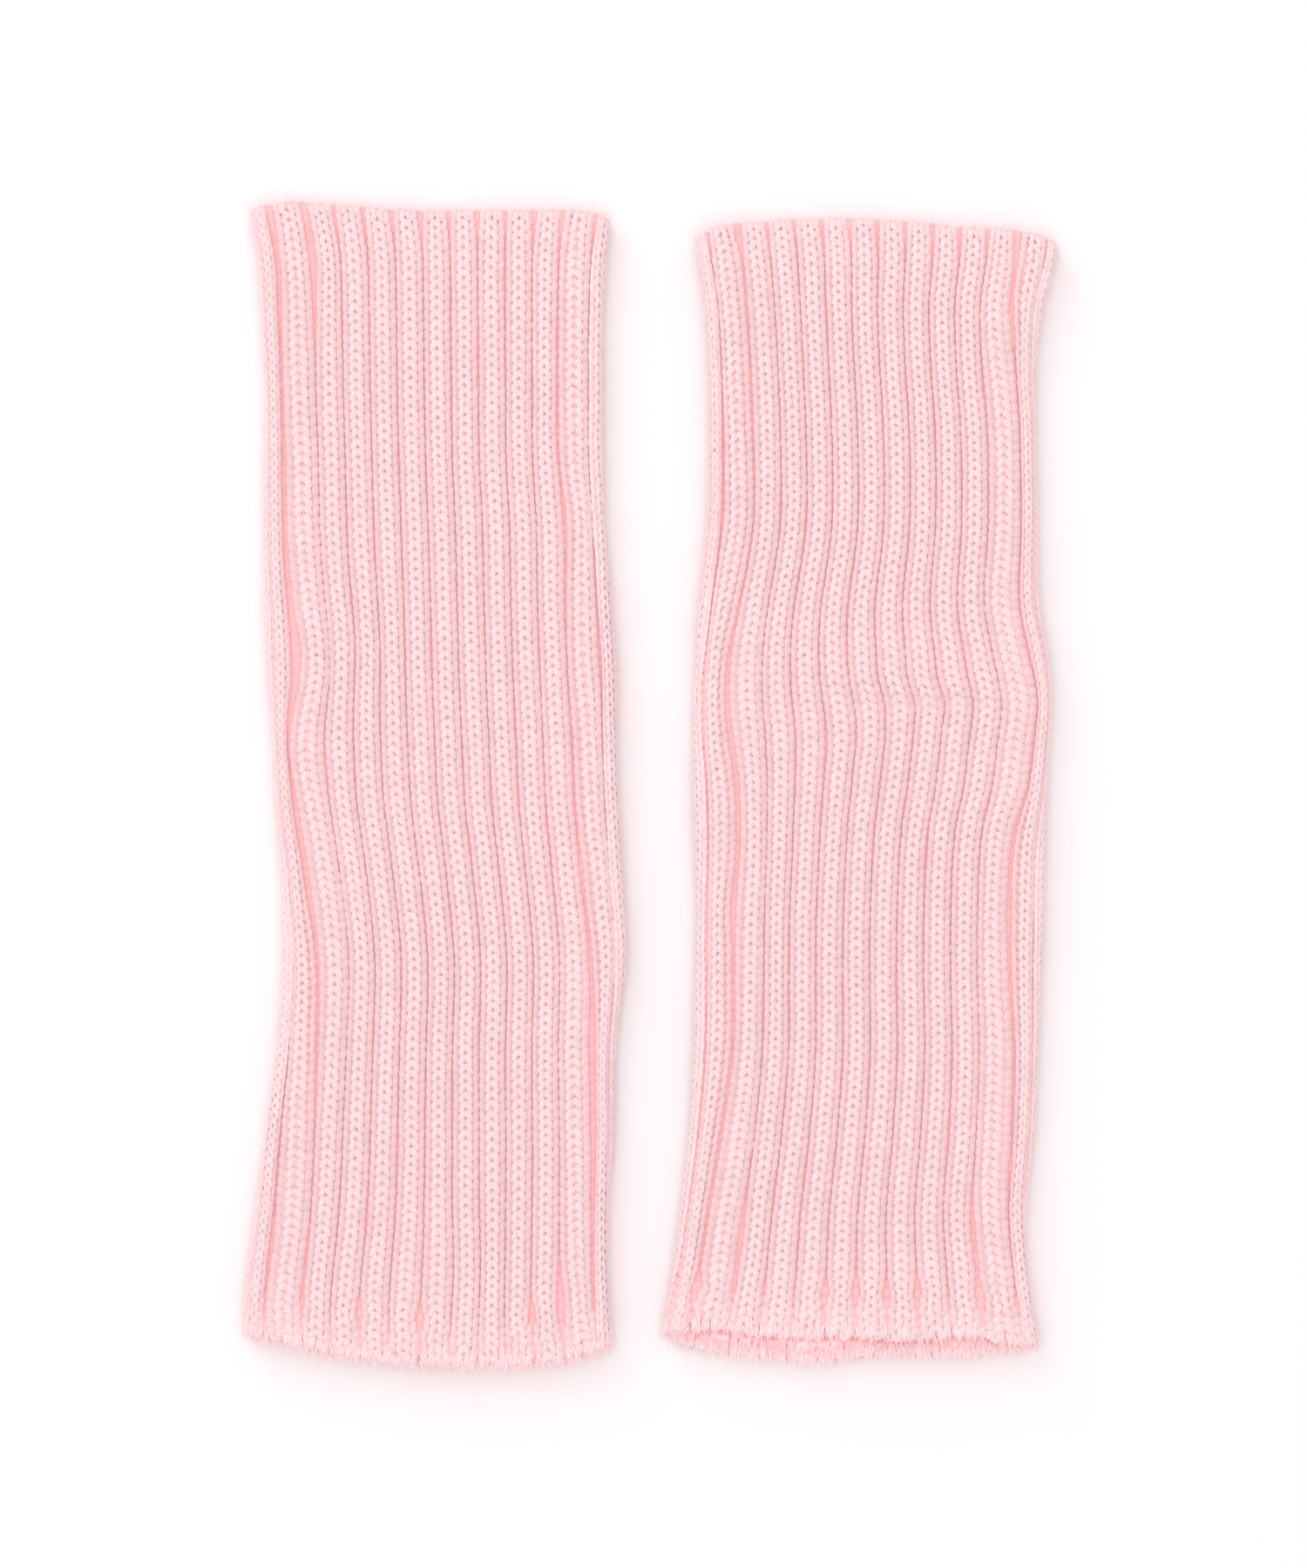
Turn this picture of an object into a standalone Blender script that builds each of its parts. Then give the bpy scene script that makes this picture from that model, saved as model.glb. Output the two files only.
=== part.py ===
"""A pair of rib-knit leg warmers, laid flat side by side.

Each leg warmer is one knitted tube. Its wall is a ring of ribs that is carried from the bottom hem to
the top hem. Laid flat, the ring is two layers that lie on each other and turn round a soft fold at
each side. The ribs stand up on the upper layer and round the folds, and the underside is plain and
flat. X runs across the pair, Y along the legs towards the top hem, and Z up from the surface.
"""
import math

import bmesh
import bpy
import numpy as np

MM = 0.001

# The knit, in millimetres, the same for both.
RIBS_ROUND = 26
RIB_DEPTH = 1.2              # how far a groove lies below the crests beside it
RIB_STEPS = ((0.0, 1.0), (0.2, 0.2), (0.5, 0.0), (0.8, 0.2))   # share of a rib, share of the depth
FIRST_FINE_RIB = -2          # ribs that reach the upper layer somewhere, which get all four steps
LAST_FINE_RIB = 14
SLOT = 0.9                   # the gap between the two layers
HEM_ROUNDING = 0.9           # how much the wall thins at its two ends
HEM_LENGTH = 2.2             # over what length it does so
HEM_SCALLOP = 1.0            # how far the hem draws in at each groove
ROWS = 27                    # rings along the tube, besides those of the hems

YARN_COLOUR = (0.965, 0.62, 0.66, 1.0)

# Rings of each tube: where it is along the leg, its two folds, the number of the rib that lies at
# each fold, and its thickness. The ribs are counted from left to right over the upper layer.
RING_COLUMNS = ("along", "left", "right", "rib_at_left", "rib_at_right", "thick")
LEFT_RINGS = (
    (-175.0, -126.9, -11.6, -1.36, 11.98, 7.8),
    (-162.3, -126.6, -12.4, -1.35, 12.04, 8.0),
    (-135.3, -123.4, -12.7, -1.34, 12.15, 8.2),
    (-108.3, -119.9, -11.1, -1.18, 12.37, 8.2),
    (-81.3, -116.1, -10.5, -0.97, 12.50, 8.2),
    (-54.3, -114.2, -7.3, -0.83, 12.85, 8.3),
    (-27.3, -114.8, -8.4, -0.55, 12.98, 8.2),
    (-6.0, -116.6, -9.6, -0.36, 13.02, 8.0),
    (13.2, -117.5, -10.3, -0.32, 13.02, 8.0),
    (34.8, -119.1, -10.0, -0.45, 13.20, 8.3),
    (53.7, -119.9, -11.6, -0.53, 13.10, 8.2),
    (80.7, -120.2, -14.0, -0.39, 12.82, 8.0),
    (100.0, -120.1, -14.5, -0.36, 12.92, 8.0),
    (121.2, -119.9, -14.6, -0.24, 12.90, 8.0),
    (145.5, -121.2, -14.4, -0.33, 12.92, 8.0),
    (161.7, -122.3, -13.5, -0.38, 13.00, 8.0),
    (180.0, -125.4, -10.9, -0.26, 13.04, 7.8),
)
RIGHT_RINGS = (
    (-175.0, 2.0, 120.8, 0.74, 12.95, 7.8),
    (-162.3, 4.6, 118.8, 0.70, 13.00, 8.1),
    (-148.8, 6.8, 116.9, 0.60, 13.04, 8.2),
    (-135.3, 8.6, 116.6, 0.52, 13.22, 8.2),
    (-108.3, 11.6, 119.1, 0.38, 13.43, 8.2),
    (-81.3, 13.0, 120.4, 0.22, 13.53, 8.2),
    (-60.0, 13.6, 121.2, 0.28, 13.71, 8.2),
    (-40.8, 14.0, 122.0, 0.35, 13.80, 8.2),
    (-13.8, 13.2, 122.6, 0.12, 13.68, 8.4),
    (0.0, 13.0, 123.2, 0.17, 13.32, 8.5),
    (13.2, 13.0, 123.9, 0.34, 13.25, 8.6),
    (26.7, 13.2, 124.6, 0.43, 13.25, 8.7),
    (40.2, 13.8, 123.4, 0.33, 13.36, 8.6),
    (53.7, 14.3, 121.0, 0.06, 13.42, 8.4),
    (80.7, 16.5, 120.2, -0.22, 13.31, 8.1),
    (107.7, 17.3, 119.6, -0.13, 13.27, 8.0),
    (134.7, 16.7, 120.2, -0.11, 13.60, 8.0),
    (148.2, 15.9, 122.3, -0.08, 13.85, 8.0),
    (161.7, 13.8, 125.9, -0.06, 13.95, 8.0),
    (175.0, 11.8, 127.9, 0.00, 14.00, 7.8),
)

# Hems: share of the way from the left fold to the right one, and where the hem then lies.
HEM_COLUMNS = ("across", "along")
LEFT_TOP_HEM = (
    (0.0, 178.4), (0.07, 180.4), (0.21, 179.8), (0.39, 177.9), (0.78, 177.9), (0.94, 177.1), (1.0, 175.0),
)
LEFT_BOTTOM_HEM = (
    (0.0, -170.4), (0.16, -174.7), (0.4, -179.6), (0.56, -180.5), (0.76, -180.3), (0.87, -179.0),
    (1.0, -173.6),
)
RIGHT_TOP_HEM = (
    (0.0, 168.8), (0.06, 172.6), (0.18, 174.2), (0.5, 175.2), (0.73, 172.5), (0.91, 170.9), (1.0, 167.4),
)
RIGHT_BOTTOM_HEM = (
    (0.0, -169.6), (0.13, -168.2), (0.28, -170.4), (0.5, -170.1), (0.72, -173.1), (1.0, -173.6),
)
RIGHT_BACK_HEM = (
    (0.0, -169.6), (0.07, -173.6), (0.23, -177.4), (0.41, -179.8), (0.57, -177.6), (0.83, -178.2),
    (1.0, -174.6),
)

# Soft hills and hollows of the upper layer: the middle of each, how far it spreads both ways, and
# its height. One below zero is a hollow. The crumple is a ridge with a hollow under it.
BELL_COLUMNS = ("across", "along", "spread_across", "spread_along", "amount")
LEFT_HILLS = (
    (0.12, 40.0, 0.10, 26.0, 0.9),
    (0.30, -50.0, 0.14, 40.0, 0.8),
    (0.80, -70.0, 0.12, 45.0, 0.7),
    (0.62, 90.0, 0.16, 40.0, 0.5),
    (0.08, 168.0, 0.08, 14.0, 1.3),
    (0.50, -176.0, 0.30, 12.0, 0.8),
)
RIGHT_HILLS = (
    (0.62, 32.0, 0.19, 6.5, 1.7),
    (0.62, 24.0, 0.14, 2.6, -1.0),
    (0.30, 18.0, 0.16, 22.0, 0.8),
    (0.86, 8.0, 0.10, 26.0, 0.9),
    (0.20, -60.0, 0.12, 30.0, 0.7),
    (0.75, -90.0, 0.14, 40.0, 0.6),
    (0.06, 160.0, 0.08, 14.0, 1.2),
    (0.93, 158.0, 0.08, 16.0, 1.1),
    (0.45, -171.0, 0.36, 13.0, 2.4),
)

# How the upper layer is pulled sideways here and there, in the same columns.
LEFT_NUDGES = (
    (0.09, 36.0, 0.06, 11.0, 2.4),
    (0.08, 12.0, 0.06, 9.0, -1.6),
    (0.24, 41.0, 0.08, 12.0, 1.3),
    (0.91, 125.0, 0.05, 36.0, -1.9),
    (0.50, -125.0, 0.25, 20.0, 1.0),
    (0.57, -155.0, 0.09, 14.0, 2.2),
)
RIGHT_NUDGES = (
    (0.75, 24.0, 0.30, 11.0, 1.5),
    (0.42, 14.0, 0.16, 7.0, 1.5),
    (0.40, 46.0, 0.20, 13.0, -0.9),
    (0.11, -45.0, 0.06, 34.0, 1.5),
    (0.30, -30.0, 0.25, 22.0, 0.6),
)
FOLD_PUFF = 0.7              # how much fuller the cloth stands just inside each fold
FOLD_PUFF_WIDTH = 9.0

# The knit is stretched open just inside each fold: its ribs are drawn towards the fold there.
FOLD_DRAW = 2.4
FOLD_DRAW_PLACE = 11.5       # along the cloth from the fold
FOLD_DRAW_WIDTH = 4.5


def smooth_table(rows, columns, at, name):
    """Reads one named column of a table at any place, along a smooth curve through its rows.

    The curve is a cubic between rows, with the slope at each row taken from the rows beside it.
    """
    table = np.array(rows)
    x, y = table[:, 0], table[:, columns.index(name)]
    slope = np.gradient(y, x)
    at = np.clip(at, x[0], x[-1])
    i = np.clip(np.searchsorted(x, at) - 1, 0, len(x) - 2)
    step = x[i + 1] - x[i]
    t = (at - x[i]) / step
    return ((2 * t**3 - 3 * t**2 + 1) * y[i] + (t**3 - 2 * t**2 + t) * step * slope[i]
            + (3 * t**2 - 2 * t**3) * y[i + 1] + (t**3 - t**2) * step * slope[i + 1])


def ease(low, high, value):
    """Goes from 0 at low to 1 at high along a smooth step."""
    t = np.clip((value - low) / (high - low), 0.0, 1.0)
    return t * t * (3 - 2 * t)


def rib_columns():
    """Where the points of a ring lie, in ribs, and how deep each is below the crests."""
    places, depths = [], []
    for rib in range(FIRST_FINE_RIB, FIRST_FINE_RIB + RIBS_ROUND):
        fine = rib < LAST_FINE_RIB
        for place, depth in RIB_STEPS if fine else RIB_STEPS[2:3]:
            places.append(rib + place)
            depths.append(depth)
    return np.array(places), np.array(depths)


def ring_turn(ribs, rib_at_left, rib_at_right, width, radius):
    """Lays a ring of ribs flat and gives each point's place on the ring's middle line and its normal.

    The ring is a stadium: the upper layer runs from the left fold over the top to the right fold,
    the lower layer comes back beneath, and each fold is half a circle of the given radius.
    """
    turn = np.mod(ribs - rib_at_left, RIBS_ROUND)
    upper_ribs = rib_at_right - rib_at_left
    upper = turn < upper_ribs
    share = np.where(upper, turn / upper_ribs, (RIBS_ROUND - turn) / (RIBS_ROUND - upper_ribs))
    quarter = math.pi / 2 * radius
    flat = width - 2 * radius
    whole = flat + 2 * quarter
    length = share * whole
    length = (length - FOLD_DRAW * np.exp(-((length - FOLD_DRAW_PLACE) / FOLD_DRAW_WIDTH) ** 2)
              + FOLD_DRAW * np.exp(-((whole - length - FOLD_DRAW_PLACE) / FOLD_DRAW_WIDTH) ** 2))
    length = np.clip(length, 0, whole)
    angle = (np.clip(length, 0, quarter) + np.clip(length - quarter - flat, 0, quarter)) / radius
    middle = np.clip(length - quarter, 0, flat)
    return middle, -np.cos(angle), np.where(upper, np.sin(angle), -np.sin(angle))


def bell_sum(rows, across, along):
    """The sum of the bell-shaped hills, or nudges, of one upper layer."""
    total = 0.0
    for row in rows:
        bell = dict(zip(BELL_COLUMNS, row))
        u = (across - bell["across"]) / bell["spread_across"]
        v = (along - bell["along"]) / bell["spread_along"]
        total = total + bell["amount"] * np.exp(-(u * u + v * v) / 2)
    return total


def tube_rows(top_hem, bottom_hem):
    """Shares of the way up the tube at which its rings lie, with one more close to each end."""
    length = top_hem[2][1] - bottom_hem[2][1]
    hem = HEM_LENGTH / length
    return np.concatenate(([0.0], np.linspace(hem, 1 - hem, ROWS), [1.0]))


def wall_points(rings, top_hem, bottom_hem, back_hem, hills, nudges):
    """Works out the outer and inner points of one tube's wall, as rows of rings."""
    ribs, depths = rib_columns()
    shares = tube_rows(top_hem, bottom_hem)[:, None]
    ribs, depths = np.broadcast_arrays(ribs[None, :], depths[None, :])
    along = bottom_hem[2][1] + shares * (top_hem[2][1] - bottom_hem[2][1]) + 0 * ribs

    for _ in range(2):       # a point's ring depends a little on its hem, so it is read twice
        left = smooth_table(rings, RING_COLUMNS, along, "left")
        right = smooth_table(rings, RING_COLUMNS, along, "right")
        radius = smooth_table(rings, RING_COLUMNS, along, "thick") / 2
        rib_at_left = smooth_table(rings, RING_COLUMNS, along, "rib_at_left")
        rib_at_right = smooth_table(rings, RING_COLUMNS, along, "rib_at_right")
        middle, normal_x, normal_z = ring_turn(ribs, rib_at_left, rib_at_right, right - left, radius)
        across = np.clip((middle + radius * (1 + normal_x)) / (right - left), 0, 1)
        upper = ease(-0.5, 0.5, normal_z)
        front = smooth_table(bottom_hem, HEM_COLUMNS, across, "along")
        back = smooth_table(back_hem, HEM_COLUMNS, across, "along")
        low = back + (front - back) * upper
        high = smooth_table(top_hem, HEM_COLUMNS, across, "along")
        along = low + shares * (high - low)
    along[0, :] += HEM_SCALLOP * depths[0, :]
    along[-1, :] -= HEM_SCALLOP / 2 * depths[0, :]

    raised = ease(-0.6, 0.1, normal_z)
    from_fold = np.minimum(across, 1 - across) * (right - left)
    puff = FOLD_PUFF * np.exp(-((from_fold - FOLD_PUFF_WIDTH) / FOLD_PUFF_WIDTH) ** 2)
    lift = (bell_sum(hills, across, along) + puff) * ease(0.0, 1.0, normal_z)
    nudge = bell_sum(nudges, across, along) * ease(0.0, FOLD_PUFF_WIDTH, from_fold) * ease(0.0, 1.0, normal_z)
    at_hem = np.zeros_like(along)
    at_hem[[0, -1], :] = HEM_ROUNDING

    def offset(distance):
        return np.stack((left + radius + middle + distance * normal_x + nudge, along,
                         radius + distance * normal_z + lift), axis=-1)

    outer = offset(radius - RIB_DEPTH * depths * raised - at_hem * raised)
    inner = offset(SLOT / 2 + at_hem / 3)
    return outer * MM, inner * MM


def knit_tube(name, material, *form):
    """Makes one leg warmer: its outer rings from hem to hem, then its inner rings back again."""
    outer, inner = wall_points(*form)
    loops = np.concatenate((outer, inner[::-1]))
    count, around = loops.shape[:2]
    shell = bmesh.new()
    corners = [[shell.verts.new(point) for point in loop] for loop in loops]
    for i in range(count):
        for j in range(around):
            here, ahead = corners[i], corners[(i + 1) % count]
            k = (j + 1) % around
            shell.faces.new((here[j], ahead[j], ahead[k], here[k]))
    bmesh.ops.triangulate(shell, faces=shell.faces[:])
    bmesh.ops.recalc_face_normals(shell, faces=shell.faces[:])
    mesh = bpy.data.meshes.new(name)
    shell.to_mesh(mesh)
    shell.free()
    mesh.materials.append(material)
    mesh.shade_smooth()
    return bpy.data.objects.new(name, mesh)


def yarn_material():
    """Soft brushed acrylic yarn, pale pink and quite dull."""
    material = bpy.data.materials.new("pink_yarn")
    material.use_nodes = True
    shader = material.node_tree.nodes["Principled BSDF"]
    shader.inputs["Base Color"].default_value = YARN_COLOUR
    shader.inputs["Roughness"].default_value = 0.9
    shader.inputs["Metallic"].default_value = 0.0
    return material


def main():
    for old in list(bpy.data.objects):
        bpy.data.objects.remove(old, do_unlink=True)
    pair = bpy.data.collections.new("leg_warmers")
    bpy.context.scene.collection.children.link(pair)
    yarn = yarn_material()
    pair.objects.link(knit_tube("leg_warmer_left", yarn, LEFT_RINGS, LEFT_TOP_HEM, LEFT_BOTTOM_HEM,
                                LEFT_BOTTOM_HEM, LEFT_HILLS, LEFT_NUDGES))
    pair.objects.link(knit_tube("leg_warmer_right", yarn, RIGHT_RINGS, RIGHT_TOP_HEM,
                                RIGHT_BOTTOM_HEM, RIGHT_BACK_HEM, RIGHT_HILLS, RIGHT_NUDGES))


main()
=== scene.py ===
import math

import bpy
import numpy as np
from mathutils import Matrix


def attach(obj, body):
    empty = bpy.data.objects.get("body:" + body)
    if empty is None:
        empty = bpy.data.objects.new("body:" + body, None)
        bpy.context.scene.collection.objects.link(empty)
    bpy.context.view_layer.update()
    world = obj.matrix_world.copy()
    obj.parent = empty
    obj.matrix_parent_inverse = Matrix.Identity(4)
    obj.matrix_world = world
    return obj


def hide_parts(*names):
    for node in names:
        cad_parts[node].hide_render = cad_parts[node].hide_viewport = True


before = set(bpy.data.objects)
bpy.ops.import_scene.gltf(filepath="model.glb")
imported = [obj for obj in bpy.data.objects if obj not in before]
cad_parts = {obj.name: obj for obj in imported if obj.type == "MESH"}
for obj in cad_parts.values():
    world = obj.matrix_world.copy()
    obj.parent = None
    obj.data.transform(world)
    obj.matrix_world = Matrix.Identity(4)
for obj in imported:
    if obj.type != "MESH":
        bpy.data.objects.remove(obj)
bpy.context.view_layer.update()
mm = 0.001

# The knit, in millimetres. Change these for another gauge.
knit = {
    "ribsRound": 26,          # ribs all the way round a tube
    "courses": 118,           # rows of stitches from hem to hem
    "slot": 0.9,              # gap between the two layers
    "grooveDepth": 1.7,       # how far the cloth dips between ribs
    "yarnRadius": 1.0,        # half the thickness of one strand, brushed
    "lowerEnd": -0.5,         # stitches go round the folds to where the surface faces this far down
    "ribsAbove": (-3, 16),    # ribs that are above somewhere, and those of the lower layer
    "ribsBelow": (13, 26),
}

# A ring of a leg: place along it, both folds, the number of the rib at each, thickness.
ringColumns = ("along", "left", "right", "ribAtLeft", "ribAtRight", "thick")
# A hem: share of the width from the left fold, place along the leg.
hemColumns = ("across", "along")
# A hill or a nudge: its middle, its spreads and its amount. Those across are shares of the width.
bumpColumns = ("across", "along", "spreadAcross", "spreadAlong", "amount")
# A stretch of a groove that is more open than others, or less.
openColumns = ("groove", "course", "spread", "amount")

# At its bottom end both layers of the left leg lie hem on hem.
leftBottomHem = ((0.0, -169.8), (0.16, -174.2), (0.4, -178.8), (0.56, -179.8), (0.76, -179.6),
                 (0.87, -178.4), (1.0, -173.6))

leftLeg = {
    "node": "leg_warmer_left",
    "slot": "pink_yarn_left",
    "seed": 11,
    "slots": 0.45,            # share of its grooves that gape just above the bottom hem
    "wideAt": (5.5, 3.6),     # where its grooves are widest, in from a fold, and over what width
    "openGrooves": (
        (2, 112, 6, 0.9),
        (2, 88, 12, -0.3),
        (10, 5, 3, 0.8),
        (11, 12, 14, 0.45),
        (0, 8, 12, -0.3),
        (1, 8, 5, 0.3),
    ),
    "rings": (
        (-175.0, -126.9, -11.6, -1.36, 11.98, 7.8),
        (-162.3, -126.6, -12.4, -1.35, 12.04, 8.0),
        (-135.3, -123.4, -12.7, -1.34, 12.15, 8.2),
        (-108.3, -119.9, -11.1, -1.18, 12.37, 8.2),
        (-81.3, -116.1, -10.5, -0.97, 12.50, 8.2),
        (-54.3, -114.2, -7.3, -0.83, 12.85, 8.3),
        (-27.3, -114.8, -8.4, -0.55, 12.98, 8.2),
        (-6.0, -116.6, -9.6, -0.36, 13.02, 8.0),
        (13.2, -117.5, -10.3, -0.32, 13.02, 8.0),
        (34.8, -119.1, -10.0, -0.45, 13.20, 8.3),
        (53.7, -119.9, -11.6, -0.53, 13.10, 8.2),
        (80.7, -120.2, -14.0, -0.39, 12.82, 8.0),
        (100.0, -120.1, -14.5, -0.36, 12.92, 8.0),
        (121.2, -119.9, -14.6, -0.24, 12.90, 8.0),
        (145.5, -121.2, -14.4, -0.33, 12.92, 8.0),
        (161.7, -122.3, -13.5, -0.38, 13.00, 8.0),
        (180.0, -125.4, -10.9, -0.26, 13.04, 7.8),
    ),
    "topHem": ((0.0, 176.2), (0.07, 178.6), (0.21, 178.8), (0.39, 177.1), (0.78, 176.6), (0.94, 176.0),
               (1.0, 173.6)),
    "bottomHem": leftBottomHem,
    "backHem": leftBottomHem,
    "hills": (                # how far the cloth stands up
        (0.12, 40.0, 0.10, 26.0, 0.9),
        (0.30, -50.0, 0.14, 40.0, 0.8),
        (0.80, -70.0, 0.12, 45.0, 0.7),
        (0.62, 90.0, 0.16, 40.0, 0.5),
        (0.08, 168.0, 0.08, 14.0, 1.3),
        (0.50, -176.0, 0.30, 12.0, 0.8),
    ),
    "nudges": (               # how far the ribs are drawn to the right
        (0.09, 36.0, 0.06, 11.0, 2.4),
        (0.08, 12.0, 0.06, 9.0, -1.6),
        (0.24, 41.0, 0.08, 12.0, 1.3),
        (0.91, 125.0, 0.05, 36.0, -1.9),
        (0.50, -125.0, 0.25, 20.0, 1.0),
        (0.57, -155.0, 0.09, 14.0, 2.2),
    ),
}
rightLeg = {
    "node": "leg_warmer_right",
    "slot": "pink_yarn_right",
    "seed": 12,
    "slots": 1.0,
    "wideAt": (3.6, 2.6),
    "openGrooves": (
        (1, 55, 45, 0.5),
        (2, 57, 9, 0.25),
        (2, 84, 9, -0.2),
        (2, 22, 17, -0.2),
        (3, 33, 8, 0.2),
        (3, 9, 5, 0.7),
        (11, 10, 6, 0.4),
        (13, 98, 13, -0.4),
        (13, 5, 4, 0.5),
        (14, 100, 30, 0.5),
        (14, 42, 10, 0.5),
    ),
    "rings": (
        (-175.0, 2.0, 120.8, 0.74, 12.95, 7.8),
        (-162.3, 4.6, 118.8, 0.70, 13.00, 8.1),
        (-148.8, 6.8, 116.9, 0.60, 13.04, 8.2),
        (-135.3, 8.6, 116.6, 0.52, 13.22, 8.2),
        (-108.3, 11.6, 119.1, 0.38, 13.43, 8.2),
        (-81.3, 13.0, 120.4, 0.22, 13.53, 8.2),
        (-60.0, 13.6, 121.2, 0.28, 13.71, 8.2),
        (-40.8, 14.0, 122.0, 0.35, 13.80, 8.2),
        (-13.8, 13.2, 122.6, 0.12, 13.68, 8.4),
        (0.0, 13.0, 123.2, 0.17, 13.32, 8.5),
        (13.2, 13.0, 123.9, 0.34, 13.25, 8.6),
        (26.7, 13.2, 124.6, 0.43, 13.25, 8.7),
        (40.2, 13.8, 123.4, 0.33, 13.36, 8.6),
        (53.7, 14.3, 121.0, 0.06, 13.42, 8.4),
        (80.7, 16.5, 120.2, -0.22, 13.31, 8.1),
        (107.7, 17.3, 119.6, -0.13, 13.27, 8.0),
        (134.7, 16.7, 120.2, -0.11, 13.60, 8.0),
        (148.2, 15.9, 122.3, -0.08, 13.85, 8.0),
        (161.7, 13.8, 125.9, -0.06, 13.95, 8.0),
        (175.0, 11.8, 127.9, 0.00, 14.00, 7.8),
    ),
    "topHem": ((0.0, 166.6), (0.06, 170.8), (0.18, 172.9), (0.5, 173.8), (0.73, 171.3), (0.91, 169.7),
               (1.0, 165.8)),
    "bottomHem": ((0.0, -169.6), (0.13, -168.2), (0.28, -170.2), (0.5, -170.6), (0.7, -171.3),
                  (0.82, -170.3), (0.91, -172.1), (1.0, -173.8)),
    "backHem": ((0.0, -169.6), (0.07, -173.4), (0.23, -177.1), (0.41, -178.9), (0.57, -177.2),
                (0.83, -177.0), (1.0, -173.9)),
    "hills": (
        (0.62, 32.0, 0.19, 6.5, 1.7),
        (0.62, 24.0, 0.14, 2.6, -1.0),
        (0.30, 18.0, 0.16, 22.0, 0.8),
        (0.86, 8.0, 0.10, 26.0, 0.9),
        (0.20, -60.0, 0.12, 30.0, 0.7),
        (0.75, -90.0, 0.14, 40.0, 0.6),
        (0.06, 160.0, 0.08, 14.0, 1.2),
        (0.93, 158.0, 0.08, 16.0, 1.1),
        (0.45, -171.0, 0.36, 13.0, 2.4),
    ),
    "nudges": (
        (0.75, 24.0, 0.30, 11.0, 1.5),
        (0.42, 14.0, 0.16, 7.0, 1.5),
        (0.40, 46.0, 0.20, 13.0, -0.9),
        (0.11, -45.0, 0.06, 34.0, 1.5),
        (0.30, -30.0, 0.25, 22.0, 0.6),
        (0.62, 24.0, 0.13, 3.2, 0.7),
        (0.62, 33.0, 0.13, 3.6, -0.8),
    ),
}

# Just inside each fold the cloth stands fuller, and its ribs are drawn apart.
foldPuff = {"height": 0.7, "width": 9.0}
foldDraw = {"amount": 2.4, "place": 11.5, "width": 4.5}


# One column of a table at any place: a cubic between rows whose slope at a row is that of its neighbours.
def smoothTable(rows, columns, at, name):
    table = np.array(rows)
    x, y = table[:, 0], table[:, columns.index(name)]
    slope = np.gradient(y, x)
    at = np.clip(at, x[0], x[-1])
    i = np.clip(np.searchsorted(x, at) - 1, 0, len(x) - 2)
    step = x[i + 1] - x[i]
    t = (at - x[i]) / step
    return ((2 * t**3 - 3 * t**2 + 1) * y[i] + (t**3 - 2 * t**2 + t) * step * slope[i]
            + (3 * t**2 - 2 * t**3) * y[i + 1] + (t**3 - t**2) * step * slope[i + 1])


# One column of a leg's rings at a place along it, and how far along it a hem lies at a share across.
def ringAt(leg, along, name):
    return smoothTable(leg["rings"], ringColumns, along, name)


def hemAt(leg, hem, across):
    return smoothTable(leg[hem], hemColumns, across, "along")


# 3t^2 - 2t^3, with t going from 0 at low to 1 at high.
def ease(low, high, value):
    t = np.clip((value - low) / (high - low), 0.0, 1.0)
    return t * t * (3 - 2 * t)


# Sum over the rows of amount * exp(-(u^2 + v^2) / 2), where u and v are distances in spreads.
def bellSum(rows, across, along):
    total = 0.0
    for row in rows:
        bump = dict(zip(bumpColumns, row))
        u = (across - bump["across"]) / bump["spreadAcross"]
        v = (along - bump["along"]) / bump["spreadAlong"]
        total = total + bump["amount"] * np.exp(-(u * u + v * v) / 2)
    return total


# A flat stadium: rib -> place on its middle line and outward normal. The arc length is shared evenly
# between the ribs of a layer, drawn towards the folds just inside them, and a fold is a half circle.
def ringTurn(rib, ribAtLeft, ribAtRight, width, radius):
    turn = np.mod(rib - ribAtLeft, knit["ribsRound"])
    upperRibs = ribAtRight - ribAtLeft
    upper = turn < upperRibs
    lowerRibs = knit["ribsRound"] - upperRibs
    share = np.where(upper, turn / upperRibs, (knit["ribsRound"] - turn) / lowerRibs)
    quarter = math.pi / 2 * radius
    flat = width - 2 * radius
    whole = flat + 2 * quarter
    length = share * whole
    amount, place, spread = foldDraw.values()
    towardsLeft = amount * np.exp(-((length - place) / spread) ** 2)
    towardsRight = amount * np.exp(-((whole - length - place) / spread) ** 2)
    length = np.clip(length - towardsLeft + towardsRight, 0, whole)
    angle = (np.clip(length, 0, quarter) + np.clip(length - quarter - flat, 0, quarter)) / radius
    middle = np.clip(length - quarter, 0, flat)
    return middle, -np.cos(angle), np.where(upper, np.sin(angle), -np.sin(angle))


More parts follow.
